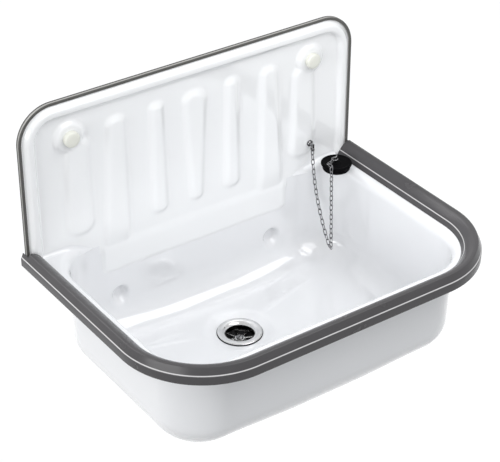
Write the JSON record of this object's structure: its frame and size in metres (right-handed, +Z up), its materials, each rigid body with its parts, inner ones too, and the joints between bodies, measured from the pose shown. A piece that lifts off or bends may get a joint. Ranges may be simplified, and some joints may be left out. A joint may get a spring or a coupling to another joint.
{
  "type": "utility_sink",
  "caption": "Wall-hung enamelled steel utility sink with ribbed backsplash, dark edge trims, dished strainer waste and a rubber plug on a link chain",
  "frame": {"origin": "Midway between the two wall screws, on the wall plane that the bushes and the rear dimples rest on", "axes": "+X to the viewer's right when facing the sink, +Y into the wall, +Z up"},
  "size_m": [0.51, 0.395, 0.4175],
  "materials": {
    "enamel": "gloss white vitreous enamel",
    "edge_metal": "dark satin metallic edge trim",
    "plated_steel": "bright plated",
    "zinc_steel": "zinc plated",
    "cap_plastic": "cream moulded",
    "grey_plastic": "grey moulded",
    "black_rubber": "black moulded rubber",
    "stainless": "polished stainless"
  },
  "bodies": {
    "sink": {"bowl": "enamel", "backsplash": "enamel", "rim_trim": "edge_metal", "back_trim": "edge_metal", "wall_bush_left": "grey_plastic", "wall_bush_right": "grey_plastic", "wall_washer_left": "zinc_steel", "wall_washer_right": "zinc_steel", "wall_screw_left": "zinc_steel", "wall_screw_right": "zinc_steel", "screw_cap_left": "cap_plastic", "screw_cap_right": "cap_plastic", "chain_holder": "plated_steel", "holder_washer": "plated_steel", "holder_nut": "zinc_steel", "strainer_cup": "stainless", "strainer_screw": "stainless", "flange_seal": "black_rubber", "body_seal": "black_rubber", "waste_body": "grey_plastic"},
    "fall_run": {"chain_fall": "plated_steel"},
    "rise_run": {"chain_rise": "plated_steel"},
    "plug": {"chain_lead": "plated_steel", "plug": "black_rubber", "plug_eye": "plated_steel", "plug_ring": "plated_steel"}
  },
  "joints": [
    {"name": "chain_swing", "type": "hinge", "parent": "sink", "child": "fall_run", "pos_m": [0.182, -0.019, -0.1312], "axis": [-1, 0, 0], "range_deg": [0, 50]},
    {"name": "chain_open", "type": "hinge", "parent": "fall_run", "child": "rise_run", "pos_m": [0.18302, -0.06082, -0.26481], "axis": [-1, 0, 0], "range_deg": [-65, 0]},
    {"name": "plug_hang", "type": "hinge", "parent": "rise_run", "child": "plug", "pos_m": [0.18403, -0.05893, -0.13975], "axis": [-1, 0, 0], "range_deg": [0, 15]}
  ],
  "couplings": [
    {"joint": "chain_open", "follows": "chain_swing", "ratio": -1.3},
    {"joint": "plug_hang", "follows": "chain_swing", "ratio": 0.3}
  ]
}
